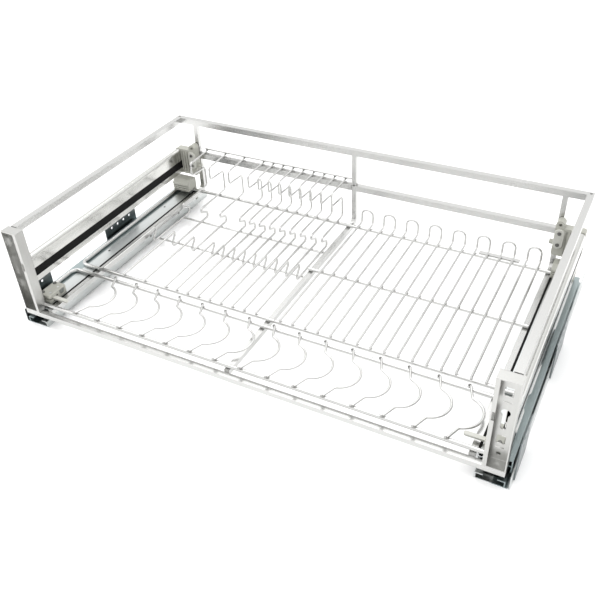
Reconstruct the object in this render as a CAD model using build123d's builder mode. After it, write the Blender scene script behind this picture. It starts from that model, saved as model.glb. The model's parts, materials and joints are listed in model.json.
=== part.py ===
"""Pull-out dish drying rack: a wire basket on full-extension undermount drawer slides.

Millimetres. X points right, Y to the rear of the cabinet and Z up. The origin is under the
middle of the rack, on the plane of the cabinet rails' undersides. The drawer is closed.
"""

import os

from build123d import *

os.makedirs("parts", exist_ok=True)

# ---------------------------------------------------------------- overall sizes
cabinet_width = 764.0  # clear width between the two sides of the cabinet
depth = 452.0  # front edge of the brackets to the rear end of the cabinet rails
front = -depth / 2
rear = depth / 2

# ---------------------------------------------------------------- stock and clearances
seat = 0.3  # left between pieces that rest on each other or are spot-welded
sheet = 1.5  # steel sheet of rails and brackets
tube = 10.0  # square tube of the gallery and the rear rail
tube_wall = 1.0
bar = 8.0  # square bar of the beams and posts
frame_wire = 6.0  # diameter of the frame wires
thin_wire = 3.5  # diameter of floor, dish and bowl wires

# ---------------------------------------------------------------- slide, one on each side
slide_height = 32.0
slide_inset = 26.5  # cabinet side to the middle of the slide
drawer_rail_width = 42.0
skirt_bottom = 4.0  # lower edge of the drawer rail's inner skirt
outer_skirt_bottom = 12.0
side_run = 1.0  # running gap between the drawer rail's skirts and the cabinet channel
lip_inset = 10.0  # how far the retaining lips reach in from the channel's wall
lip_run = 2.0  # running gap between a flange and the lip that retains it
cabinet_rail_setback = 2.0  # brackets' front edge to the cabinet rail
middle_rail_length = 380.0
middle_rail_front = 15.0
middle_web = 3.0
flange_run = 2.0  # running gap beside the intermediate rail's flanges
roller_gap = 4.0  # height of the roller track
roller_run = 0.05  # running gap above and below each roller
roller_length = 20.0
roller_pitch = 30.0
roller_count = 5
cage_length = 150.0
cage_thickness = 2.0
cage_margin = 3.0  # cage beside each roller's end
cage_run = 0.3  # gap between a roller and its window
lower_cage_front = 130.0
upper_cage_front = 145.0
base_flange_height = 22.0  # upturned outer edge of the cabinet rail

# ---------------------------------------------------------------- mounting plates
plate_top = 64.0
plate_bottom = 2.0
front_plate_start = 15.0
front_plate_length = 56.0
front_plate_columns = 2
rear_plate_start = 207.0
rear_plate_length = 82.0
rear_plate_columns = 4
plate_corner = 3.0
plate_hole = 4.6
plate_row_drop = 8.0  # plate top to the upper row of holes
plate_row_gap = 12.0  # between the two rows
plate_hole_pitch = 16.0
rivet = 4.0
rivet_head = 8.0
rivet_head_height = 1.2
rivet_head_slope = 30.0  # degrees off upright
rivet_run = 0.1
rivet_height = 13.0

# ---------------------------------------------------------------- heights of the basket
frame_z = slide_height + seat + frame_wire / 2
floor_z = frame_z + frame_wire / 2 + seat + thin_wire / 2
beam_z = frame_z - frame_wire / 2 - seat - bar / 2
gallery_z = 163.0
rear_rail_z = 98.0

# ---------------------------------------------------------------- plan of the basket
rail_setback = 16.0  # rear end of the slides to the middle of the rear rail
gallery_inset = 18.5  # cabinet side to the middle of the gallery's tube
post_inset = 52.5
centre_x = -11.8
post_bend = 12.0
bowl_front_setback = 14.0  # from the front edge of the brackets
bowl_rear_setback = 107.8
main_front_setback = 124.8
middle_setback = 264.9
main_rear_gap = 25.2  # main frame wire to the rear rail
frame_inset = 16.0
frame_corner = 12.0
wire_break = 1.0  # gap left in the closed frame wire for its butt weld
rail_y = rear - rail_setback
gallery_x = cabinet_width / 2 - gallery_inset
post_x = cabinet_width / 2 - post_inset
bowl_front_y = front + bowl_front_setback
bowl_rear_y = front + bowl_rear_setback
main_front_y = front + main_front_setback
middle_y = front + middle_setback
main_rear_y = rail_y - main_rear_gap
frame_x = cabinet_width / 2 - frame_inset

# ---------------------------------------------------------------- floor, dish and bowl wires
hairpins = 8
floor_margin = 16.5  # last floor wire to the middle of the right-hand post
loop_setback = 12.0  # main frame wire to the upright loops
loop_top = 66.0
loop_flat = 0.05  # half the flat left at the top of a loop
floor_bend = 7.0
dish_slots_narrow = 9  # dish wires one pitch apart, from the centre to the left
dish_slots_wide = 3  # then wires two pitches apart
bay_depth = 24.5  # floor down to the sunk bay
bay_front_reach = 17.5  # sunk bay in front of the middle wire
bay_nose_reach = 3.5  # top of the bay's front wall behind the middle wire
bay_rear_gap = 45.4  # sunk bay's rear wall to the main frame wire
bay_lip_gap = 63.3  # lip above it to the main frame wire
bay_lip_back = 1.5
bay_lip_drop = 6.0
bay_knee_back = 2.0
bay_knee_drop = 14.0
bay_cross_front = 22.0  # cross wires under the bay, from its front and rear walls
bay_cross_rear = 18.5
hook_reach = 50.1  # hook's front edge to the rear rail
hook_drop = 24.0  # hook's top run down to its seat
hook_seat_fall = 3.0
hook_bend = 6.0
seat_bend = 5.0
lip_bend = 3.5
knee_bend = 2.5
bay_bend = 5.0
nose_bend = 4.0
bowl_count = 15
bowl_left_margin = 85.7  # side frame wires to the first and last bowl wires
bowl_right_margin = 69.08
bowl_bulge = 30.0  # sideways reach of a bowl wire's middle
bowl_arc_x = 12.5  # where the round bulge starts
bowl_arc_half = 26.0
bowl_neck_x = 8.2  # corner between the bulge and the short straight end
bowl_neck_half = 27.8
bowl_shoulder = 6.0
wire_pitch = (post_x - floor_margin - centre_x) / (2 * hairpins)
loop_y = main_rear_y + loop_setback
bay_front = middle_y - bay_front_reach
bay_nose = middle_y + bay_nose_reach
bay_rear = main_rear_y - bay_rear_gap
bay_lip = main_rear_y - bay_lip_gap
hook_front = rail_y - hook_reach
bowl_first_x = bowl_left_margin - frame_x
bowl_pitch = (frame_x - bowl_right_margin - bowl_first_x) / (bowl_count - 1)

# ---------------------------------------------------------------- brackets, panels and blocks
bracket_inset = 38.0  # cabinet side to the bracket's inner side
bracket_width = 28.0
bracket_depth = 17.0
bracket_bottom = 28.0
bracket_top = 168.0
bracket_lip = 5.0
bracket_hole = 5.5
bracket_upper_hole = 157.0  # height of the drawer front's upper screw
bracket_lower_hole = 39.5
bracket_windows = (138.0, 63.0)  # heights of the two windows
bracket_window_width = 10.5
bracket_window_height = 14.0
bracket_window_corner = 1.5
bracket_slits = (122.5, 50.0)
bracket_slit = 2.0
bracket_fold = 2.0  # outside radius of the folds
bracket_notch = 13.0  # opening in the lip, level with the keyhole
bracket_notch_z = 111.0
keyhole_z = 106.0
keyhole_head = 11.0
keyhole_slot = 6.5
keyhole_drop = 23.0
front_rail = 8.0
front_rail_wall = 1.0
front_rail_setback = 0.5
panel_inset = 18.0  # cabinet side to the middle of the side panel
panel_thickness = 12.0
panel_bottom = 67.0
panel_top = 112.0
panel_wall = 1.2
panel_round = 5.0
insert_height = 14.0
insert_depth = 1.6
insert_z = 83.0
insert_run = 0.15
insert_setback = 22.0
block_depth = 14.0
block_bottom = 64.0
block_top = 113.0
bracket_inner_x = cabinet_width / 2 - bracket_inset
panel_x = cabinet_width / 2 - panel_inset
insert_front = front + insert_setback

# ---------------------------------------------------------------- rear blocks and lock clips
block_inset = 3.5  # how far the block reaches inside the post's middle line
block_corner = 4.0
block_grooves = 3
block_groove = 2.0
ear_width = 13.0
ear_height = 11.0
ear_hole = 5.0
peg = 8.0
peg_reach = 6.0
cover_width = 15.0
cover_height = 34.0
cover_thickness = 2.5
cover_screw_gap = 20.0
cover_drop = 2.0  # block's top to the cover's
screw = 3.2
screw_head = 6.0
screw_head_height = 1.8
screw_head_slope = 20.0  # degrees off upright
screw_run = 0.1
screw_depth = 7.0  # shank inside the block
catch_length = 26.0
catch_height = 21.0
catch_rib = 2.0
catch_ribs = 3
catch_leg = 5.0
catch_leg_bottom = 12.0
catch_joint = 1.0  # how far the leg runs up inside the catch
clip_width = 22.0
clip_length = 36.0
clip_height = 13.0
clip_base = 4.0
clip_inset = 4.5  # drawer rail's inner edge to the clip
clip_setback = 22.0
clip_corner = 2.0
clip_edge = 1.0
clip_wall = 1.5  # round the lever's hub and between the lever's slot and the wheel
clip_screw_inset = 5.0
clip_run = 0.3  # gap above and below the lever and the wheel
pin = 4.0
pin_run = 0.08
lever_thickness = 3.0
lever_hub = 9.0
lever_arm = 30.0
lever_tip = 6.0
lever_room = 2.0  # slot beside the lever's hub
wheel = 15.0
wheel_height = 6.0
wheel_rib = 1.2
wheel_ribs = 16
wheel_proud = 1.5  # wheel's rim stands out of the clip
wheel_margin = 2.5  # clip behind the wheel
blank_length = 66.0
blank_width = 8.0
blank_corner = 2.0
blank_inset = 116.0  # side frame wire to the middle of the blank plate
clip_front = front + clip_setback
blank_x = frame_x - blank_inset


def at_y(y):
    """Vertical plane across the rack at y, facing the front."""
    return Plane.XZ.offset(-y)


def at_x(x):
    """Vertical plane along the rack at x, facing right."""
    return Plane.YZ.offset(x)


# ---------------------------------------------------------------- slide, right-hand set
slide_x = cabinet_width / 2 - slide_inset
drawer_half = drawer_rail_width / 2
channel_half = drawer_half - sheet - side_run
flange_half = channel_half - sheet - flange_run
lower_flange_z = sheet + roller_gap
upper_flange_z = slide_height - sheet - roller_gap
lower_lip_z = lower_flange_z + sheet + lip_run
upper_lip_z = upper_flange_z - 2 * sheet - lip_run
base_outer_x = cabinet_width / 2 - sheet - seat
drawer_rail_front = front + bracket_depth + seat
drawer_rail_length = main_rear_y - drawer_rail_front
clip_inner_x = slide_x - drawer_half + clip_inset
clip_outer_x = clip_inner_x + clip_width
clip_screws = (
    (clip_outer_x - clip_screw_inset, clip_front + clip_screw_inset),
    (clip_outer_x - clip_screw_inset, clip_front + clip_length - clip_screw_inset),
)

# plates: where each one starts, how long it is and how many holes a row has
mounting_plates = (
    ("front", front + front_plate_start, front_plate_length, front_plate_columns),
    ("rear", front + rear_plate_start, rear_plate_length, rear_plate_columns),
)


def rivet_points(start, length):
    """The two rivets of a mounting plate, a quarter of its length from each end."""
    return [(start + length / 4, rivet_height), (start + length * 3 / 4, rivet_height)]


def write_pair(piece, name):
    """Write the right-hand piece and its mirror image on the left."""
    piece.label = f"right_{name}"
    export_step(piece, f"parts/right_{name}.step")
    with BuildPart() as left_piece:
        mirror(piece, about=Plane.YZ)
    left_piece.part.label = f"left_{name}"
    export_step(left_piece.part, f"parts/left_{name}.step")


# Cabinet rail: a C channel on a base that runs out to the cabinet's side and turns up.
with BuildPart() as cabinet_rail:
    with BuildSketch(at_y(rear)):
        with BuildLine():
            Polyline(
                (slide_x - channel_half, 0),
                (base_outer_x, 0),
                (base_outer_x, base_flange_height),
                (base_outer_x - sheet, base_flange_height),
                (base_outer_x - sheet, sheet),
                (slide_x + channel_half, sheet),
                (slide_x + channel_half, lower_lip_z + sheet),
                (slide_x + channel_half - lip_inset, lower_lip_z + sheet),
                (slide_x + channel_half - lip_inset, lower_lip_z),
                (slide_x + channel_half - sheet, lower_lip_z),
                (slide_x + channel_half - sheet, sheet),
                (slide_x - channel_half + sheet, sheet),
                (slide_x - channel_half + sheet, lower_lip_z),
                (slide_x - channel_half + lip_inset, lower_lip_z),
                (slide_x - channel_half + lip_inset, lower_lip_z + sheet),
                (slide_x - channel_half, lower_lip_z + sheet),
                close=True,
            )
        make_face()
    extrude(amount=depth - cabinet_rail_setback)
    for _, start, length, _ in mounting_plates:
        with BuildSketch(at_x(base_outer_x)):
            with Locations(*rivet_points(start, length)):
                Circle(rivet / 2 + rivet_run)
        extrude(amount=-2 * sheet, mode=Mode.SUBTRACT)
write_pair(cabinet_rail.part, "cabinet_rail")

# Mounting plates: dark plates between the rail's flange and the cabinet's side.
plate_x = cabinet_width / 2 - sheet
for where, start, length, columns in mounting_plates:
    with BuildPart() as mounting_plate:
        with BuildSketch(at_x(plate_x)):
            with Locations((start + length / 2, (plate_top + plate_bottom) / 2)):
                RectangleRounded(length, plate_top - plate_bottom, plate_corner)
            with Locations((start + length / 2, plate_top - plate_row_drop - plate_row_gap / 2)):
                with GridLocations(plate_hole_pitch, plate_row_gap, columns, 2):
                    Circle(plate_hole / 2, mode=Mode.SUBTRACT)
            with Locations(*rivet_points(start, length)):
                Circle(rivet / 2 + rivet_run, mode=Mode.SUBTRACT)
        extrude(amount=sheet)
    write_pair(mounting_plate.part, f"{where}_mounting_plate")

# Rivets: a shank through plate and flange, with a domed head on the inside.
with BuildPart() as rivets:
    for _, start, length, _ in mounting_plates:
        with BuildSketch(at_x(base_outer_x - sheet - seat / 2)):
            with Locations(*rivet_points(start, length)):
                Circle(rivet / 2)
        extrude(amount=2 * sheet + seat)
        with BuildSketch(at_x(base_outer_x - sheet - seat / 2)):
            with Locations(*rivet_points(start, length)):
                Circle(rivet_head / 2)
        extrude(amount=-rivet_head_height, taper=rivet_head_slope)
write_pair(rivets.part, "plate_rivets")

# Intermediate rail: an I section whose flanges run in the two channels.
with BuildPart() as middle_rail:
    with BuildSketch(at_y(front + middle_rail_front + middle_rail_length)):
        with Locations((slide_x, lower_flange_z + sheet / 2), (slide_x, upper_flange_z - sheet / 2)):
            Rectangle(2 * flange_half, sheet)
        with Locations((slide_x, (lower_flange_z + upper_flange_z) / 2)):
            Rectangle(middle_web, upper_flange_z - lower_flange_z)
    extrude(amount=middle_rail_length)
write_pair(middle_rail.part, "middle_rail")

# Drawer rail: an inverted channel, with a deep inner skirt and two lips under the flange.
with BuildPart() as drawer_rail:
    with BuildSketch(at_y(drawer_rail_front + drawer_rail_length)):
        with BuildLine():
            Polyline(
                (slide_x - drawer_half, skirt_bottom),
                (slide_x - drawer_half + sheet, skirt_bottom),
                (slide_x - drawer_half + sheet, upper_lip_z),
                (slide_x - drawer_half + lip_inset, upper_lip_z),
                (slide_x - drawer_half + lip_inset, upper_lip_z + sheet),
                (slide_x - drawer_half + sheet, upper_lip_z + sheet),
                (slide_x - drawer_half + sheet, slide_height - sheet),
                (slide_x + drawer_half - sheet, slide_height - sheet),
                (slide_x + drawer_half - sheet, upper_lip_z + sheet),
                (slide_x + drawer_half - lip_inset, upper_lip_z + sheet),
                (slide_x + drawer_half - lip_inset, upper_lip_z),
                (slide_x + drawer_half - sheet, upper_lip_z),
                (slide_x + drawer_half - sheet, outer_skirt_bottom),
                (slide_x + drawer_half, outer_skirt_bottom),
                (slide_x + drawer_half, slide_height),
                (slide_x - drawer_half, slide_height),
                close=True,
            )
        make_face()
    extrude(amount=drawer_rail_length)
    with BuildSketch(Plane.XY.offset(slide_height)):
        with Locations(*clip_screws):
            Circle(screw / 2 + screw_run)
    extrude(amount=-sheet, mode=Mode.SUBTRACT)
write_pair(drawer_rail.part, "drawer_rail")

# Roller cages and rollers, one set under each flange of the intermediate rail.
roller_radius = roller_gap / 2 - roller_run
for level, cage_front, track_z in (
    ("lower", front + lower_cage_front, sheet + roller_gap / 2),
    ("upper", front + upper_cage_front, upper_flange_z + roller_gap / 2),
):
    cage_middle = cage_front + cage_length / 2
    with BuildPart() as cage:
        with BuildSketch(Plane.XY.offset(track_z - cage_thickness / 2)):
            with Locations((slide_x, cage_middle)):
                Rectangle(roller_length + 2 * cage_margin, cage_length)
                with GridLocations(1, roller_pitch, 1, roller_count):
                    Rectangle(
                        roller_length + 2 * cage_run,
                        2 * roller_radius + 2 * cage_run,
                        mode=Mode.SUBTRACT,
                    )
        extrude(amount=cage_thickness)
    write_pair(cage.part, f"{level}_cage")
    with BuildPart() as rollers:
        with BuildSketch(at_x(slide_x - roller_length / 2)):
            with Locations((cage_middle, track_z)):
                with GridLocations(roller_pitch, 1, roller_count, 1):
                    Circle(roller_radius)
        extrude(amount=roller_length)
    write_pair(rollers.part, f"{level}_rollers")


# ---------------------------------------------------------------- the basket's tubes and bars
# Gallery rail: three sides of square tube, square at the two rear corners.
gallery_front = front + bracket_depth + seat
with BuildPart() as gallery_rail:
    for size, mode in ((tube, Mode.ADD), (tube - 2 * tube_wall, Mode.SUBTRACT)):
        with BuildSketch(Plane.XY.offset(gallery_z - size / 2)):
            with Locations((0, rail_y)):
                Rectangle(2 * gallery_x + size, size)
            leg = rail_y - gallery_front
            with Locations((gallery_x, rail_y - leg / 2), (-gallery_x, rail_y - leg / 2)):
                Rectangle(size, leg)
        extrude(amount=size, mode=mode)
gallery_rail.part.label = "gallery_rail"
export_step(gallery_rail.part, "parts/gallery_rail.step")

# Rear rail: square tube butted between the posts, with a short end outside each outer post.
rear_rail_end = gallery_x
post_side = bar / 2 + seat
rear_rail_runs = (
    (-rear_rail_end, -post_x - post_side),
    (-post_x + post_side, centre_x - post_side),
    (centre_x + post_side, post_x - post_side),
    (post_x + post_side, rear_rail_end),
)
with BuildPart() as rear_rail:
    for start, end in rear_rail_runs:
        with BuildSketch(at_x(start)):
            with Locations((rail_y, rear_rail_z)):
                Rectangle(tube, tube)
                Rectangle(tube - 2 * tube_wall, tube - 2 * tube_wall, mode=Mode.SUBTRACT)
        extrude(amount=end - start)
rear_rail.part.label = "rear_rail"
export_step(rear_rail.part, "parts/rear_rail.step")

# Front rail: square tube under the two brackets.
bracket_outer_x = bracket_inner_x + bracket_width
front_rail_y = front + front_rail_setback + front_rail / 2
with BuildPart() as front_tube:
    with BuildSketch(at_x(-bracket_outer_x)):
        with Locations((front_rail_y, bracket_bottom - seat - front_rail / 2)):
            Rectangle(front_rail, front_rail)
            inner = front_rail - 2 * front_rail_wall
            Rectangle(inner, inner, mode=Mode.SUBTRACT)
    extrude(amount=2 * bracket_outer_x)
front_tube.part.label = "front_rail"
export_step(front_tube.part, "parts/front_rail.step")

# Beams: square bar from the front rail to the rear, bent up into a post under the gallery.
beam_front = front_rail_y + front_rail / 2 + seat
post_top = gallery_z - tube / 2 - seat
for name, x in (("left", -post_x), ("centre", centre_x), ("right", post_x)):
    with BuildPart() as beam:
        with BuildLine(at_x(x)) as beam_line:
            FilletPolyline(
                (beam_front, beam_z), (rail_y, beam_z), (rail_y, post_top), radius=post_bend
            )
        with BuildSketch(at_y(beam_front)):
            with Locations((x, beam_z)):
                Rectangle(bar, bar)
        sweep(path=beam_line.line)
    beam.part.label = f"{name}_beam"
    export_step(beam.part, f"parts/{name}_beam.step")

# ---------------------------------------------------------------- frame wires
# Main frame wire: one closed loop that lies on the drawer rails.
with BuildPart() as main_frame:
    with BuildLine(Plane.XY.offset(frame_z)) as main_line:
        FilletPolyline(
            (0, main_front_y),
            (frame_x, main_front_y),
            (frame_x, main_rear_y),
            (-frame_x, main_rear_y),
            (-frame_x, main_front_y),
            (-wire_break, main_front_y),
            radius=frame_corner,
        )
    with BuildSketch(Plane(origin=main_line.line @ 0, z_dir=main_line.line % 0)):
        Circle(frame_wire / 2)
    sweep(path=main_line.line)
main_frame.part.label = "main_frame_wire"
export_step(main_frame.part, "parts/main_frame_wire.step")

# Bowl frame wire: open to the front, where its ends meet the brackets.
with BuildPart() as bowl_frame:
    with BuildLine(Plane.XY.offset(frame_z)) as bowl_line:
        FilletPolyline(
            (frame_x, drawer_rail_front),
            (frame_x, bowl_rear_y),
            (-frame_x, bowl_rear_y),
            (-frame_x, drawer_rail_front),
            radius=frame_corner,
        )
    with BuildSketch(Plane(origin=bowl_line.line @ 0, z_dir=bowl_line.line % 0)):
        Circle(frame_wire / 2)
    sweep(path=bowl_line.line)
bowl_frame.part.label = "bowl_frame_wire"
export_step(bowl_frame.part, "parts/bowl_frame_wire.step")

# Straight frame wires: the bowl wires' front wire and the middle wire of the right-hand floor.
for name, start, end, y in (
    ("bowl_front_wire", seat - bracket_inner_x, bracket_inner_x - seat, bowl_front_y),
    ("middle_wire", centre_x - bar / 2, post_x + bar / 2, middle_y),
):
    with BuildPart() as straight_wire:
        with BuildSketch(at_x(start)):
            with Locations((y, frame_z)):
                Circle(frame_wire / 2)
        extrude(amount=end - start)
    straight_wire.part.label = name
    export_step(straight_wire.part, f"parts/{name}.step")

# ---------------------------------------------------------------- floor wires
# A hairpin: two floor wires joined by an upright loop at the rear.
first_x = centre_x + wire_pitch
floor_front_y = main_front_y - thin_wire / 2
loop_radius = wire_pitch / 2 - loop_flat
with BuildPart() as hairpin:
    with BuildLine() as hairpin_line:
        FilletPolyline(
            (first_x, floor_front_y, floor_z),
            (first_x, loop_y, floor_z),
            (first_x, loop_y, loop_top),
            (first_x + wire_pitch, loop_y, loop_top),
            (first_x + wire_pitch, loop_y, floor_z),
            (first_x + wire_pitch, floor_front_y, floor_z),
            radius=[floor_bend, loop_radius, loop_radius, floor_bend],
        )
    with BuildSketch(Plane(origin=hairpin_line.line @ 0, z_dir=hairpin_line.line % 0)):
        Circle(thin_wire / 2)
    sweep(path=hairpin_line.line)
with BuildPart() as floor_wires:
    with Locations(*[(2 * wire_pitch * k, 0, 0) for k in range(hairpins)]):
        add(hairpin.part)
floor_wires.part.label = "floor_wires"
export_step(floor_wires.part, "parts/floor_wires.step")

# ---------------------------------------------------------------- dish wires
# Rear hook over the rear rail, a drop to the floor, the sunk bay, its nose, then the floor.
hook_z = rear_rail_z + tube / 2 + seat + thin_wire / 2
drop_y = rail_y - tube / 2 - seat - thin_wire / 2
hook_end_y = rail_y + tube / 2 + seat + thin_wire
bay_z = floor_z - bay_depth
hook_seat_z = hook_z - hook_drop
with BuildPart() as dish_wire:
    with BuildLine(at_x(0)) as dish_line:
        FilletPolyline(
            (hook_end_y, hook_z),
            (hook_front, hook_z),
            (hook_front, hook_seat_z),
            (drop_y, hook_seat_z - hook_seat_fall),
            (drop_y, floor_z),
            (bay_lip, floor_z),
            (bay_lip - bay_lip_back, floor_z - bay_lip_drop),
            (bay_rear - bay_knee_back, floor_z - bay_knee_drop),
            (bay_rear, bay_z),
            (bay_front, bay_z),
            (bay_nose, floor_z),
            (floor_front_y, floor_z),
            radius=[
                *(hook_bend, hook_bend, seat_bend, hook_bend),
                *(lip_bend, knee_bend, lip_bend),
                *(bay_bend, bay_bend, nose_bend),
            ],
        )
    with BuildSketch(Plane(origin=dish_line.line @ 0, z_dir=dish_line.line % 0)):
        Circle(thin_wire / 2)
    sweep(path=dish_line.line)
narrow_x = [centre_x - wire_pitch * (k + 1) for k in range(dish_slots_narrow)]
wide_x = [narrow_x[-1] - 2 * wire_pitch * (k + 1) for k in range(dish_slots_wide)]
with BuildPart() as dish_wires:
    with Locations(*[(x, 0, 0) for x in narrow_x + wide_x]):
        add(dish_wire.part)
dish_wires.part.label = "dish_wires"
export_step(dish_wires.part, "parts/dish_wires.step")

# Cross wires: two under the sunk bay and one along the tops of the rear hooks.
cross_start = wide_x[-1] - thin_wire
bay_cross_y = (bay_front + bay_cross_front, bay_rear - bay_cross_rear)
bay_cross_z = bay_z - thin_wire - seat
with BuildPart() as bay_cross_wires:
    with BuildSketch(at_x(cross_start)):
        with Locations(*[(y, bay_cross_z) for y in bay_cross_y]):
            Circle(thin_wire / 2)
    extrude(amount=narrow_x[0] + thin_wire - cross_start)
bay_cross_wires.part.label = "bay_cross_wires"
export_step(bay_cross_wires.part, "parts/bay_cross_wires.step")

with BuildPart() as hook_wire:
    with BuildSketch(at_x(cross_start)):
        with Locations((hook_end_y - thin_wire / 2, hook_z + thin_wire + seat)):
            Circle(thin_wire / 2)
    extrude(amount=centre_x - bar / 2 - cross_start)
hook_wire.part.label = "hook_wire"
export_step(hook_wire.part, "parts/hook_wire.step")

# ---------------------------------------------------------------- bowl wires
# A bell in plan: two short ends, rounded shoulders and a round bulge to the right.
bowl_middle_y = (bowl_front_y + bowl_rear_y) / 2
bowl_end = (bowl_rear_y - bowl_front_y) / 2 + thin_wire / 2
with BuildPart() as bowl_wire:
    with BuildLine(Plane.XY.offset(floor_z)) as bell:
        Polyline(
            (0, bowl_middle_y - bowl_end),
            (bowl_neck_x, bowl_middle_y - bowl_neck_half),
            (bowl_arc_x, bowl_middle_y - bowl_arc_half),
        )
        ThreePointArc(
            (bowl_arc_x, bowl_middle_y - bowl_arc_half),
            (bowl_bulge, bowl_middle_y),
            (bowl_arc_x, bowl_middle_y + bowl_arc_half),
        )
        Polyline(
            (bowl_arc_x, bowl_middle_y + bowl_arc_half),
            (bowl_neck_x, bowl_middle_y + bowl_neck_half),
            (0, bowl_middle_y + bowl_end),
        )
        necks = bell.vertices().filter_by_position(Axis.X, bowl_neck_x - seat, bowl_neck_x + seat)
        fillet(necks, radius=bowl_shoulder)
    with BuildSketch(Plane(origin=bell.line @ 0, z_dir=bell.line % 0)):
        Circle(thin_wire / 2)
    sweep(path=bell.line)
with BuildPart() as bowl_wires:
    with Locations(*[(bowl_first_x + bowl_pitch * k, 0, 0) for k in range(bowl_count)]):
        add(bowl_wire.part)
bowl_wires.part.label = "bowl_wires"
export_step(bowl_wires.part, "parts/bowl_wires.step")

# ---------------------------------------------------------------- brackets of the drawer front
# A tray folded from sheet, open to the front, with a lip along its inner flange.
bracket_x = bracket_inner_x + bracket_width / 2
bracket_rear = front + bracket_depth
with BuildPart() as bracket:
    with BuildSketch(at_y(bracket_rear)):
        with Locations((bracket_x, (bracket_top + bracket_bottom) / 2)):
            Rectangle(bracket_width, bracket_top - bracket_bottom)
    extrude(amount=bracket_depth)
    fillet(bracket.faces().sort_by(Axis.Y)[-1].edges(), radius=bracket_fold)
    offset(amount=-sheet, openings=bracket.faces().sort_by(Axis.Y)[0])
    with BuildSketch(at_y(front)):
        with Locations((bracket_inner_x + bracket_lip / 2, (bracket_top + bracket_bottom) / 2)):
            Rectangle(bracket_lip, bracket_top - bracket_bottom)
        with Locations((bracket_inner_x + bracket_lip, bracket_notch_z)):
            Rectangle(2 * (bracket_lip - sheet), bracket_notch, mode=Mode.SUBTRACT)
    extrude(amount=-sheet)
    with BuildSketch(at_y(bracket_rear)):
        with Locations((bracket_x, bracket_upper_hole), (bracket_x, bracket_lower_hole)):
            Circle(bracket_hole / 2)
        with Locations(*[(bracket_x, z) for z in bracket_windows]):
            RectangleRounded(
                bracket_window_width, bracket_window_height, bracket_window_corner
            )
        with Locations(*[(bracket_x, z) for z in bracket_slits]):
            Rectangle(bracket_window_width, bracket_slit)
        with Locations((bracket_x, keyhole_z)):
            Circle(keyhole_head / 2)
        with Locations((bracket_x, keyhole_z - keyhole_drop / 2)):
            SlotOverall(keyhole_drop + keyhole_slot, keyhole_slot, rotation=90)
    extrude(amount=2 * sheet, mode=Mode.SUBTRACT)
write_pair(bracket.part, "bracket")

# ---------------------------------------------------------------- side panels
# A hollow rail with a rounded top, and a groove for an insert along each face.
panel_start = bracket_rear + seat
block_front = rail_y - tube / 2 - seat - block_depth
panel_end = block_front - seat
panel_z = (panel_top + panel_bottom) / 2
groove_sides = (panel_x - panel_thickness / 2, panel_x + panel_thickness / 2)
with BuildPart() as side_panel:
    with BuildSketch(at_y(panel_end)) as profile:
        with Locations((panel_x, panel_z)):
            Rectangle(panel_thickness, panel_top - panel_bottom)
        fillet(profile.vertices().group_by(Axis.Y)[-1], radius=panel_round)
        offset(profile.face(), amount=-panel_wall, mode=Mode.SUBTRACT)
        for mode, border in ((Mode.ADD, panel_wall), (Mode.SUBTRACT, 0)):
            with BuildSketch(mode=Mode.PRIVATE) as grooves:
                with Locations(*[(x, insert_z) for x in groove_sides]):
                    Rectangle(2 * (insert_depth + border), insert_height + 2 * border)
                with Locations((panel_x, insert_z)):
                    Rectangle(panel_thickness, panel_top - panel_bottom, mode=Mode.INTERSECT)
            add(grooves.sketch, mode=mode)
    extrude(amount=panel_end - panel_start)
write_pair(side_panel.part, "side_panel")

with BuildPart() as panel_inserts:
    for x, inward in zip(groove_sides, (1, -1)):
        with BuildSketch(at_x(x)):
            with Locations(((insert_front + panel_end) / 2, insert_z)):
                Rectangle(panel_end - insert_front, insert_height - 2 * insert_run)
        extrude(amount=inward * (insert_depth - insert_run))
write_pair(panel_inserts.part, "panel_inserts")

# ---------------------------------------------------------------- rear blocks
# A moulded block between the side panel, the post and the rear rail, with an ear and a peg.
block_inner_x = post_x - block_inset
block_outer_x = panel_x + panel_thickness / 2
block_rear = block_front + block_depth
block_x = (block_inner_x + block_outer_x) / 2
cover_x = block_inner_x + cover_width / 2
cover_z = block_top - cover_height / 2 - cover_drop
ear_x = block_inner_x + ear_width / 2
cover_screws = ((cover_x, cover_z + cover_screw_gap / 2), (cover_x, cover_z - cover_screw_gap / 2))
groove_pitch = (panel_x - panel_thickness / 2 - cover_x - cover_width / 2) / block_grooves
with BuildPart() as rear_block:
    with BuildSketch(at_y(block_rear)):
        with Locations((block_x, (block_top + block_bottom) / 2)):
            RectangleRounded(block_outer_x - block_inner_x, block_top - block_bottom, block_corner)
        with Locations((ear_x, block_top)):
            SlotOverall(2 * ear_height, ear_width, rotation=90)
    extrude(amount=block_depth)
    with BuildSketch(at_y(block_front)):
        with Locations((ear_x, block_top + ear_height - ear_width / 2)):
            Circle(ear_hole / 2)
    extrude(amount=-block_depth, mode=Mode.SUBTRACT)
    with BuildSketch(at_y(block_front)):
        with Locations(*cover_screws):
            Circle(screw / 2 + screw_run)
    extrude(amount=-screw_depth - screw_run, mode=Mode.SUBTRACT)
    with BuildSketch(at_y(block_front)):
        groove_middle = (cover_x + cover_width / 2 + panel_x - panel_thickness / 2) / 2
        with Locations((groove_middle, (block_top + block_bottom) / 2)):
            with GridLocations(groove_pitch, 1, block_grooves, 1):
                Rectangle(block_groove, block_top - block_bottom - 2 * block_corner)
    extrude(amount=-block_groove, mode=Mode.SUBTRACT)
    with BuildSketch(at_x(block_inner_x)):
        with Locations(((block_front + block_rear) / 2, insert_z)):
            Circle(peg / 2)
    extrude(amount=-peg_reach)
write_pair(rear_block.part, "rear_block")

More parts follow.
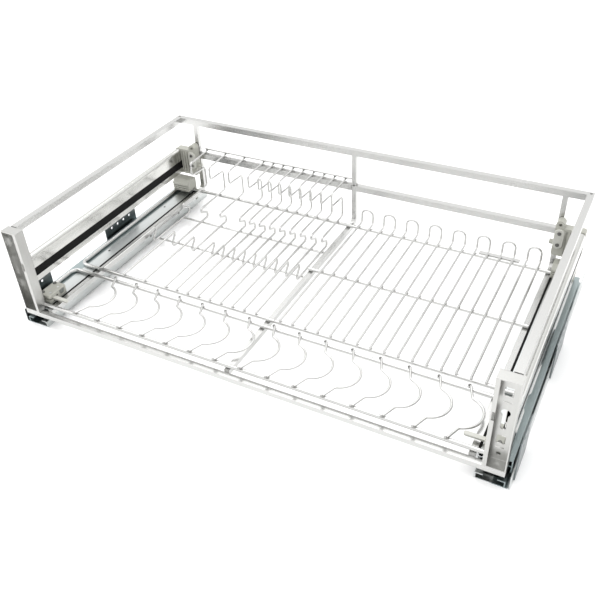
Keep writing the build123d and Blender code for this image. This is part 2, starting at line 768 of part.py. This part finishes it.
with BuildPart() as block_cover:
    with BuildSketch(at_y(block_front - screw_run)):
        with Locations((cover_x, cover_z)):
            SlotOverall(cover_height, cover_width, rotation=90)
        with Locations(*cover_screws):
            Circle(screw / 2 + screw_run, mode=Mode.SUBTRACT)
    extrude(amount=cover_thickness)
    fillet(block_cover.faces().sort_by(Axis.Y)[0].outer_wire().edges(), radius=cover_thickness / 2)
write_pair(block_cover.part, "block_cover")

# Rear catch: a ribbed moulding on the frame wire, with a leg behind the drawer rail.
catch_bottom = frame_z + frame_wire / 2 + seat
catch_inner_x = slide_x - drawer_half
catch_rear = main_rear_y + frame_wire / 2 + seat + catch_leg
catch_outer_x = frame_x + frame_wire / 2
catch_front = catch_rear - catch_length
with BuildPart() as rear_catch:
    with BuildSketch(at_x(catch_inner_x)) as profile:
        with Locations((catch_front + catch_length / 2, catch_bottom + catch_height / 2)):
            Rectangle(catch_length, catch_height)
        top = profile.vertices().group_by(Axis.Y)[-1].sort_by(Axis.X)
        chamfer(top[0], length=catch_height / 3)
        fillet(top[-1], radius=catch_height / 6)
        with Locations((catch_front, catch_bottom + catch_rib * catch_ribs)):
            with GridLocations(1, 2 * catch_rib, 1, catch_ribs):
                Rectangle(2 * catch_rib, catch_rib, mode=Mode.SUBTRACT)
    extrude(amount=catch_outer_x - catch_inner_x)
    with BuildSketch(Plane.XY.offset(catch_leg_bottom)):
        with Locations((catch_inner_x + catch_leg / 2, catch_rear - catch_leg / 2)):
            Rectangle(catch_leg, catch_leg)
    extrude(amount=catch_bottom - catch_leg_bottom + catch_joint)
write_pair(rear_catch.part, "rear_catch")

# ---------------------------------------------------------------- lock clips
# A clip screwed to the drawer rail, slotted for the release lever and the height wheel.
clip_bottom = slide_height + seat
lever_z = clip_bottom + clip_base + clip_run
pivot_x = clip_inner_x + lever_hub / 2 + clip_wall
pivot_y = clip_front + lever_hub
wheel_x = clip_inner_x + wheel / 2 - wheel_proud
wheel_y = clip_front + clip_length - wheel / 2 - wheel_margin
pin_points = ((pivot_x, pivot_y), (wheel_x, wheel_y))
slot_end = wheel_y - wheel / 2 - clip_wall
with BuildPart() as lock_clip:
    with BuildSketch(Plane.XY.offset(clip_bottom)):
        with Locations(((clip_inner_x + clip_outer_x) / 2, clip_front + clip_length / 2)):
            RectangleRounded(clip_width, clip_length, clip_corner)
    extrude(amount=clip_height)
    fillet(lock_clip.edges().group_by(Axis.Z)[-1], radius=clip_edge)
    with BuildSketch(Plane.XY.offset(clip_bottom + clip_base)):
        with Locations((pivot_x, (clip_front - clip_wall + slot_end) / 2)):
            Rectangle(lever_hub + 2 * lever_room, slot_end - clip_front + clip_wall)
    extrude(amount=lever_thickness + 2 * clip_run, mode=Mode.SUBTRACT)
    with BuildSketch(Plane.XY.offset(clip_bottom + clip_base)):
        with Locations((wheel_x, wheel_y)):
            Circle(wheel / 2 + clip_run)
    extrude(amount=wheel_height + 2 * clip_run, mode=Mode.SUBTRACT)
    with BuildSketch(Plane.XY.offset(clip_bottom)):
        with Locations(*pin_points):
            Circle(pin / 2 + pin_run)
        with Locations(*clip_screws):
            Circle(screw / 2 + screw_run)
    extrude(amount=clip_height, mode=Mode.SUBTRACT)
write_pair(lock_clip.part, "lock_clip")

with BuildPart() as release_lever:
    with BuildSketch(Plane.XY.offset(lever_z)):
        with Locations((pivot_x, pivot_y)):
            Circle(lever_hub / 2)
        with Locations((pivot_x - lever_arm / 2, pivot_y)):
            SlotCenterToCenter(lever_arm, lever_tip)
        with Locations((pivot_x, pivot_y)):
            Circle(pin / 2 + pin_run, mode=Mode.SUBTRACT)
    extrude(amount=lever_thickness)
write_pair(release_lever.part, "release_lever")

# Height wheel: ribbed round its rim for the thumb.
with BuildPart() as height_wheel:
    with BuildSketch(Plane.XY.offset(lever_z)):
        with Locations((wheel_x, wheel_y)):
            Circle(wheel / 2)
            with PolarLocations(wheel / 2, wheel_ribs):
                Circle(wheel_rib / 2, mode=Mode.SUBTRACT)
            Circle(pin / 2 + pin_run, mode=Mode.SUBTRACT)
    extrude(amount=wheel_height)
write_pair(height_wheel.part, "height_wheel")

with BuildPart() as clip_pins:
    with BuildSketch(Plane.XY.offset(clip_bottom)):
        with Locations(*pin_points):
            Circle(pin / 2)
    extrude(amount=clip_height)
write_pair(clip_pins.part, "clip_pins")

# Screws: two through the lock clip into the rail, two through the cover into the block.
clip_top = clip_bottom + clip_height
cover_face = block_front - screw_run - cover_thickness
with BuildPart() as screws:
    for plane, points, shank in (
        (Plane.XY.offset(clip_top), clip_screws, clip_height + seat + 2 * sheet),
        (at_y(cover_face), cover_screws, cover_thickness + screw_run + screw_depth),
    ):
        with BuildSketch(plane):
            with Locations(*points):
                Circle(screw / 2)
        extrude(amount=-shank)
        with BuildSketch(plane):
            with Locations(*points):
                Circle(screw_head / 2)
        extrude(amount=screw_head_height, taper=screw_head_slope)
write_pair(screws.part, "screws")

# Blank plate: a small plain strip between the rear frame wire and the floor wires.
blank_top = floor_z - thin_wire / 2 - seat
with BuildPart() as blank_plate:
    with BuildSketch(Plane.XY.offset(blank_top - sheet)):
        with Locations((blank_x, main_rear_y + frame_wire / 2 + seat + blank_width / 2)):
            RectangleRounded(blank_length, blank_width, blank_corner)
    extrude(amount=sheet)
blank_plate.part.label = "blank_plate"
export_step(blank_plate.part, "parts/blank_plate.step")
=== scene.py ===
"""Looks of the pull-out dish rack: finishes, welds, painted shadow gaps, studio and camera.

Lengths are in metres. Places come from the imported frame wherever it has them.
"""

import json
import math

import bmesh
import bpy
from mathutils import Euler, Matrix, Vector


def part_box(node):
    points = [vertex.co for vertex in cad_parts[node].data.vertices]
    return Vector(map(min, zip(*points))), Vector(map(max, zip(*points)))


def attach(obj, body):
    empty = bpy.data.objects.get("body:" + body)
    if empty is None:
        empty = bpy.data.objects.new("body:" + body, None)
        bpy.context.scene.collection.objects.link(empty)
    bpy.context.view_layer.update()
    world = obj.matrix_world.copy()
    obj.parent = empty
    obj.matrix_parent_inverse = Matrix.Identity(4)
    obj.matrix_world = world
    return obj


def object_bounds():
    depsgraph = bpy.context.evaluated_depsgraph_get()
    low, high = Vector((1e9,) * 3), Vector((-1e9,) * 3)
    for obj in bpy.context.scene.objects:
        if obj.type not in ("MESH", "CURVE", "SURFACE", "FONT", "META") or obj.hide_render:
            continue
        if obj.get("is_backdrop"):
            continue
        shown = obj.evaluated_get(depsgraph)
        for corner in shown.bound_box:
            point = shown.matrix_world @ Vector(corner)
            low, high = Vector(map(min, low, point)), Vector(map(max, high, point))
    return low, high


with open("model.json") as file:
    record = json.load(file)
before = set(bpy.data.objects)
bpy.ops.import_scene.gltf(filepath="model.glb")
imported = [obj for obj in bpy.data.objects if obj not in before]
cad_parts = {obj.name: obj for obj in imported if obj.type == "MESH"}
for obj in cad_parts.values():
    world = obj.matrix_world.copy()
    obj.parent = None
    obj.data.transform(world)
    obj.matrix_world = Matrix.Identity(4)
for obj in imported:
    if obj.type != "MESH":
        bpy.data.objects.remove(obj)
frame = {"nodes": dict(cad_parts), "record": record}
cad_low, cad_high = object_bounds()

MM = 0.001
SIDES = (("left", -1), ("right", 1))


# ---------------------------------------------------------------- places taken from the frame
def middle(node, axis):
    """Middle of a node's box along an axis (0, 1 or 2)."""
    low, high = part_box(node)
    return (low[axis] + high[axis]) / 2


def spaced(first, last, count):
    """count places from first to last."""
    return [first + (last - first) * k / (count - 1) for k in range(count)]


THIN_WIRE = 3.5 * MM  # diameter of floor, dish and bowl wires
FLOOR_WIRES = 16
DISH_STEPS = (0, 1, 2, 3, 4, 5, 6, 7, 8, 10, 12, 14)  # dish wires, in steps from the first one
BOWL_WIRES = 15
BOWL_REACH = 33.4 * MM  # one bowl wire's box from left to right
LEDGE_SHARE = 0.57  # share of the drawer rail's width that is its pale inner ledge
RIVET_SHARE = 0.42  # rivets stand this share of the rail's width from its inner edge

floor_low, floor_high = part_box("floor_wires")
dish_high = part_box("dish_wires")[1]
bowl_low, bowl_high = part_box("bowl_wires")
frame_low, frame_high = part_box("main_frame_wire")
beam_low, beam_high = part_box("centre_beam")
rear_rail_low, rear_rail_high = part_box("rear_rail")
gallery_low, gallery_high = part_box("gallery_rail")
cross_low, cross_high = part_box("bay_cross_wires")
hook_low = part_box("hook_wire")[0]
rail_low, rail_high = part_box("right_drawer_rail")

FRAME_WIRE = frame_high.z - frame_low.z
TUBE = rear_rail_high.z - rear_rail_low.z
BAR = beam_high.x - beam_low.x
RAIL_WIDTH = rail_high.x - rail_low.x
ledge_end = rail_low.x + LEDGE_SHARE * RAIL_WIDTH
front_wire_y = frame_low.y + FRAME_WIRE / 2
rear_wire_y = frame_high.y - FRAME_WIRE / 2
floor_x = spaced(floor_low.x + THIN_WIRE / 2, floor_high.x - THIN_WIRE / 2, FLOOR_WIRES)
wire_pitch = floor_x[1] - floor_x[0]
dish_x = [dish_high.x - THIN_WIRE / 2 - wire_pitch * step for step in DISH_STEPS]
bowl_x = spaced(bowl_low.x, bowl_high.x - BOWL_REACH, BOWL_WIRES)


# ---------------------------------------------------------------- material helpers
METAL_FINENESS = 12  # a metal's grain, in times the scale of its clouds
PLASTIC_GRAIN = 1600  # scale of the noise on plastic
PLASTIC_CLOUD = PLASTIC_GRAIN / 48
ALONG_Y = (1.0, 0.02, 1.0)
ALONG_Z = (1.0, 1.0, 0.03)


def new_material(name):
    """A material with a Principled shader; returns (material, nodes, links, shader)."""
    material = bpy.data.materials.new(name)
    material.use_nodes = True
    nodes, links = material.node_tree.nodes, material.node_tree.links
    return material, nodes, links, nodes["Principled BSDF"]


def stretched_noise(nodes, links, scale, stretch=(1, 1, 1), detail=4.0):
    """Noise over object coordinates, drawn out along an axis by a small stretch factor."""
    place = nodes.new("ShaderNodeTexCoord")
    mapping = nodes.new("ShaderNodeMapping")
    mapping.inputs["Scale"].default_value = stretch
    noise = nodes.new("ShaderNodeTexNoise")
    noise.inputs["Scale"].default_value = scale
    noise.inputs["Detail"].default_value = detail
    links.new(place.outputs["Object"], mapping.inputs["Vector"])
    links.new(mapping.outputs["Vector"], noise.inputs["Vector"])
    return noise.outputs["Fac"]


def remap(nodes, links, value, low, high):
    """A 0 to 1 value mapped to the range low to high."""
    ramp = nodes.new("ShaderNodeMapRange")
    ramp.inputs["To Min"].default_value = low
    ramp.inputs["To Max"].default_value = high
    links.new(value, ramp.inputs["Value"])
    return ramp.outputs["Result"]


def blend_colour(nodes, links, factor, first, second):
    """A colour between two, driven by factor."""
    mix = nodes.new("ShaderNodeMix")
    mix.data_type = "RGBA"
    mix.inputs["A"].default_value = (*first, 1)
    mix.inputs["B"].default_value = (*second, 1)
    links.new(factor, mix.inputs["Factor"])
    return mix.outputs["Result"]


def cloudy(nodes, links, shader, cloud, dark, light, rough):
    """Colour and roughness that vary with the same cloud of noise."""
    links.new(blend_colour(nodes, links, cloud, dark, light), shader.inputs["Base Color"])
    links.new(remap(nodes, links, cloud, *rough), shader.inputs["Roughness"])


def bump(nodes, links, shader, height, distance):
    """Adds a bump of the given height in metres to the shader."""
    node = nodes.new("ShaderNodeBump")
    node.inputs["Strength"].default_value = 0.4
    node.inputs["Distance"].default_value = distance
    links.new(height, node.inputs["Height"])
    links.new(node.outputs["Normal"], shader.inputs["Normal"])


def metal(name, dark, light, rough, scale, stretch=(1, 1, 1), grain=0.02 * MM):
    """Bare or plated metal; grain is the depth of its brush marks, 0 where it is polished."""
    material, nodes, links, shader = new_material(name)
    shader.inputs["Metallic"].default_value = 1.0
    cloudy(nodes, links, shader, stretched_noise(nodes, links, scale, stretch), dark, light, rough)
    if grain:
        fine = stretched_noise(nodes, links, scale * METAL_FINENESS, stretch, detail=2.0)
        bump(nodes, links, shader, fine, grain)
    return material


def plastic(name, dark, light, rough, specular=0.5):
    """Moulded plastic with a fine spark-eroded texture."""
    material, nodes, links, shader = new_material(name)
    shader.inputs["Specular IOR Level"].default_value = specular
    cloudy(nodes, links, shader, stretched_noise(nodes, links, PLASTIC_CLOUD), dark, light, rough)
    fine = stretched_noise(nodes, links, PLASTIC_GRAIN, detail=2.0)
    bump(nodes, links, shader, fine, 0.05 * MM)
    return material


def stepped_zinc(name, strip, ledge, rough):
    """Zinc plate, bluer on the drawer rail's outer strip and paler on both sides of it."""
    material, nodes, links, shader = new_material(name)
    shader.inputs["Metallic"].default_value = 1.0
    place = nodes.new("ShaderNodeTexCoord")
    split = nodes.new("ShaderNodeSeparateXYZ")
    links.new(place.outputs["Object"], split.inputs["Vector"])
    distance = nodes.new("ShaderNodeMath")
    distance.operation = "ABSOLUTE"
    links.new(split.outputs["X"], distance.inputs[0])
    on_strip = nodes.new("ShaderNodeMath")
    on_strip.operation = "COMPARE"
    links.new(distance.outputs["Value"], on_strip.inputs[0])
    on_strip.inputs[1].default_value = (ledge_end + rail_high.x) / 2
    on_strip.inputs[2].default_value = (rail_high.x - ledge_end) / 2 + 0.1 * MM
    colour = blend_colour(nodes, links, on_strip.outputs["Value"], ledge, strip)
    links.new(colour, shader.inputs["Base Color"])
    cloud = stretched_noise(nodes, links, 120, ALONG_Y)
    links.new(remap(nodes, links, cloud, *rough), shader.inputs["Roughness"])
    return material


# ---------------------------------------------------------------- finishes, one per record slot
FINISHES = {
    "wire_steel": metal(
        "electropolished_wire", (0.54, 0.54, 0.53), (0.60, 0.60, 0.59), (0.16, 0.22), 60
    ),
    "tube_steel": metal(
        "satin_tube", (0.55, 0.55, 0.54), (0.56, 0.56, 0.55), (0.26, 0.28), 25, grain=0
    ),
    "brushed_bracket": metal(
        "brushed_bracket", (0.47, 0.47, 0.455), (0.53, 0.53, 0.515), (0.26, 0.34), 400, ALONG_Z
    ),
    "polished_panel": metal(
        "polished_panel", (0.575, 0.575, 0.555), (0.59, 0.59, 0.57), (0.15, 0.17), 40, ALONG_Y, 0
    ),
    "zinc_plate": stepped_zinc("zinc_plate", (0.33, 0.38, 0.385), (0.60, 0.62, 0.615), (0.28, 0.34)),
    "dark_zinc": metal("dark_zinc", (0.17, 0.195, 0.20), (0.21, 0.235, 0.24), (0.30, 0.38), 90),
    "zinc_screw": metal("zinc_screw", (0.10, 0.10, 0.095), (0.20, 0.20, 0.19), (0.35, 0.45), 300),
    "black_insert": plastic(
        "black_insert", (0.002, 0.002, 0.002), (0.004, 0.004, 0.004), (0.45, 0.55), specular=0.12
    ),
    "cream_moulding": plastic(
        "cream_moulding", (0.36, 0.36, 0.32), (0.42, 0.42, 0.375), (0.36, 0.48)
    ),
    "cream_cover": plastic("cream_cover", (0.48, 0.48, 0.44), (0.54, 0.54, 0.50), (0.32, 0.44)),
    "grey_moulding": plastic(
        "grey_moulding", (0.16, 0.17, 0.16), (0.22, 0.23, 0.215), (0.38, 0.50)
    ),
    "white_roller": plastic("white_roller", (0.70, 0.70, 0.67), (0.78, 0.78, 0.75), (0.25, 0.35)),
}
for part in frame["record"]["subparts"]:
    mesh = frame["nodes"][part["node"]].data
    mesh.materials.clear()
    mesh.materials.append(FINISHES[part["material_slot"]])

# Dark metal for the hook knots, gallery corners, skirt rivets and post beads; at the centre beam's
# crossings it partly stands for painted shade.
dark_spot_metal = metal("weld_dark_spot_metal", (0.10, 0.10, 0.095), (0.22, 0.22, 0.21), (0.35, 0.5), 600)
pale_weld = metal("pale_weld", (0.30, 0.30, 0.29), (0.42, 0.42, 0.41), (0.3, 0.45), 600)
# Black for the strips painted as the shadow gap along the slides' inner edges; also used for the
# flat dots on the rails' tops.
shadow_gap_black = plastic(
    "black_painted_shadow_gap", (0.003, 0.003, 0.003), (0.006, 0.006, 0.006), (0.4, 0.5), specular=0.1
)


# ---------------------------------------------------------------- shapes that ride on the drawer
def ride_shape(shape, name, material, body="drawer"):
    """Turns a bmesh into one piece that rides on body."""
    mesh = bpy.data.meshes.new(name)
    shape.to_mesh(mesh)
    shape.free()
    mesh.materials.append(material)
    piece = bpy.data.objects.new(name, mesh)
    bpy.context.collection.objects.link(piece)
    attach(piece, body)


def beads(name, points, size, material):
    """Small flattened beads at points, joined in one piece; size is half of a bead's box."""
    shape = bmesh.new()
    for point in points:
        made = bmesh.ops.create_icosphere(shape, subdivisions=2, radius=1.0)
        for vertex in made["verts"]:
            vertex.co = Vector(point) + Vector([a * b for a, b in zip(vertex.co, size)])
    for face in shape.faces:
        face.smooth = True
    ride_shape(shape, name, material)


def boxes(name, corners, material):
    """Boxes between pairs of opposite corners, joined in one piece."""
    shape = bmesh.new()
    for low, high in corners:
        low, high = Vector(low), Vector(high)
        made = bmesh.ops.create_cube(shape, size=1.0)
        for vertex in made["verts"]:
            scaled = Vector([a * b for a, b in zip(vertex.co, high - low)])
            vertex.co = (low + high) / 2 + scaled
    ride_shape(shape, name, material)


# ---------------------------------------------------------------- spot welds (the dark beads where the centre beam crosses the frame wires are partly painted shade)
BEAD = (2.2 * MM, 2.2 * MM, 1.5 * MM)
KNOT = (2.4 * MM, 2.2 * MM, 2.0 * MM)
POST_BEAD = (2.6 * MM, 1.2 * MM, 2.0 * MM)
CORNER_BEAD = (2.2 * MM, 2.2 * MM, 0.4 * MM)
BEAD_RISE = 0.3 * MM  # middle of a bead above the frame wire it lies on

crossing_z = frame_high.z + BEAD_RISE
crossings = [(x, y, crossing_z) for y in (front_wire_y, rear_wire_y) for x in floor_x + dish_x]
crossings += [(x, middle("middle_wire", 1), crossing_z) for x in floor_x]
bay_cross_y = (cross_low.y + THIN_WIRE / 2, cross_high.y - THIN_WIRE / 2)
crossings += [(x, y, cross_high.z) for x in dish_x for y in bay_cross_y]
beads("floor_welds", crossings, BEAD, pale_weld)

bowl_z = middle("bowl_wires", 2)
knots = [(x, hook_low.y + THIN_WIRE / 2, hook_low.z) for x in dish_x]
knots += [(x, bowl_high.y, bowl_z) for x in bowl_x]
beads("bowl_and_hook_welds", knots, KNOT, dark_spot_metal)
beads("bowl_front_welds", [(x, bowl_low.y, bowl_z) for x in bowl_x], BEAD, pale_weld)

# Dark beads where the posts meet the rear rail and where the centre beam crosses the frame wires:
# welds, drawn dark so that they also give the painted shade in these crossings.
post_front = beam_high.y - BAR
beam_x = middle("centre_beam", 0)
posts = [
    (middle(f"{name}_beam", 0), post_front, rear_rail_high.z)
    for name in ("left", "centre", "right")
]
posts += [(beam_x, y, frame_low.z) for y in (rear_wire_y, front_wire_y)]
beads("post_welds_and_crossing_shade", posts, POST_BEAD, dark_spot_metal)

gallery_ends = (gallery_low.x + TUBE / 2, gallery_high.x - TUBE / 2)
joints = [(x, gallery_high.y - TUBE / 2, gallery_high.z) for x in gallery_ends]
beads("gallery_welds", joints, CORNER_BEAD, dark_spot_metal)

# ---------------------------------------------------------------- slides: black strips painted as the shadow gap along the inner edges, and rivets
# Size of the black strip painted as the shadow gap along each drawer rail's inner top edge.
SHADOW_GAP_HEIGHT = 4.5 * MM
SHADOW_GAP_PROUD = 0.9 * MM
SHADOW_GAP_WIDTH = 2.4 * MM  # over the rail's top
SHADOW_GAP_RISE = 0.25 * MM
TOP_RIVET = (1.8 * MM, 1.8 * MM, 0.25 * MM)
TOP_RIVETS_Y = (-48 * MM, 112 * MM)
SKIRT_RIVET = (0.4 * MM, 2.2 * MM, 2.2 * MM)
SKIRT_RIVETS_Y = (41 * MM, 128 * MM)
SKIRT_RIVET_RISE = 10 * MM

for side, sign in SIDES:
    low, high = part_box(f"{side}_drawer_rail")
    edge = rail_low.x
    skirt_x = sorted((sign * (edge - SHADOW_GAP_PROUD), sign * edge))
    top_x = sorted((sign * (edge - SHADOW_GAP_PROUD), sign * (edge + SHADOW_GAP_WIDTH)))
    # Black boxes over the inner top edge: painted shadow of the gap between the drawer rail and the
    # member below, not a real trim.
    trim = [
        ((skirt_x[0], low.y, high.z - SHADOW_GAP_HEIGHT), (skirt_x[1], high.y, high.z)),
        ((top_x[0], low.y, high.z), (top_x[1], high.y, high.z + SHADOW_GAP_RISE)),
    ]
    boxes(f"{side}_painted_shadow_gap", trim, shadow_gap_black)
    dots = [(sign * (edge + RIVET_SHARE * RAIL_WIDTH), y, high.z) for y in TOP_RIVETS_Y]
    beads(f"{side}_rail_rivets", dots, TOP_RIVET, shadow_gap_black)
    studs = [(sign * edge, y, low.z + SKIRT_RIVET_RISE) for y in SKIRT_RIVETS_Y]
    beads(f"{side}_skirt_rivets", studs, SKIRT_RIVET, dark_spot_metal)

# ---------------------------------------------------------------- studio
FLOOR_SIZE = 30.0
FLOOR_WHITE = (0.97, 0.97, 0.97, 1)
HORIZON = (0.60, 0.60, 0.60)
ZENITH = (1.0, 1.0, 1.0)
SKY_STRENGTH = 1.6

bpy.ops.mesh.primitive_plane_add(size=FLOOR_SIZE)
floor = bpy.context.object
floor.name = "studio_floor"
paper, _, _, paper_shader = new_material("white_paper")
paper_shader.inputs["Base Color"].default_value = FLOOR_WHITE
paper_shader.inputs["Roughness"].default_value = 0.9
paper_shader.inputs["Specular IOR Level"].default_value = 0.0
floor.data.materials.append(paper)
floor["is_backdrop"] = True

world = bpy.data.worlds.new("studio")
bpy.context.scene.world = world
world.use_nodes = True
sky_nodes, sky_links = world.node_tree.nodes, world.node_tree.links
direction = sky_nodes.new("ShaderNodeTexCoord")
parts = sky_nodes.new("ShaderNodeSeparateXYZ")
sky_links.new(direction.outputs["Generated"], parts.inputs["Vector"])
height = remap(sky_nodes, sky_links, parts.outputs["Z"], 0, 1)
sky = blend_colour(sky_nodes, sky_links, height, HORIZON, ZENITH)
sky_links.new(sky, sky_nodes["Background"].inputs["Color"])
sky_nodes["Background"].inputs["Strength"].default_value = SKY_STRENGTH


def softbox(name, place, size, watts):
    """A square area light at place that faces the middle of the rack."""
    data = bpy.data.lights.new(name, "AREA")
    data.shape = "SQUARE"
    data.size = size
    data.energy = watts
    light = bpy.data.objects.new(name, data)
    bpy.context.collection.objects.link(light)
    light.location = place
    aim = (cad_low + cad_high) / 2 - Vector(place)
    light.rotation_euler = aim.to_track_quat("-Z", "Y").to_euler()


softbox("overhead", (-0.6, 0.6, 2.6), size=2.6, watts=34)
softbox("left_fill", (-2.6, -1.0, 1.6), size=1.6, watts=8)

# ---------------------------------------------------------------- camera
CAMERA_PLACE = (0.437414, -0.811115, 0.707580)
CAMERA_TURN = (52.646355, 2.203010, 27.363410)  # degrees about X, Y and Z

camera_data = bpy.data.cameras.new("camera")
camera_data.sensor_width = 36.0
camera_data.lens = 43.9285
camera = bpy.data.objects.new("camera", camera_data)
bpy.context.collection.objects.link(camera)
camera.location = CAMERA_PLACE
camera.rotation_euler = Euler([math.radians(angle) for angle in CAMERA_TURN])
bpy.context.scene.camera = camera
bpy.context.scene.view_settings.view_transform = "Standard"

low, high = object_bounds()
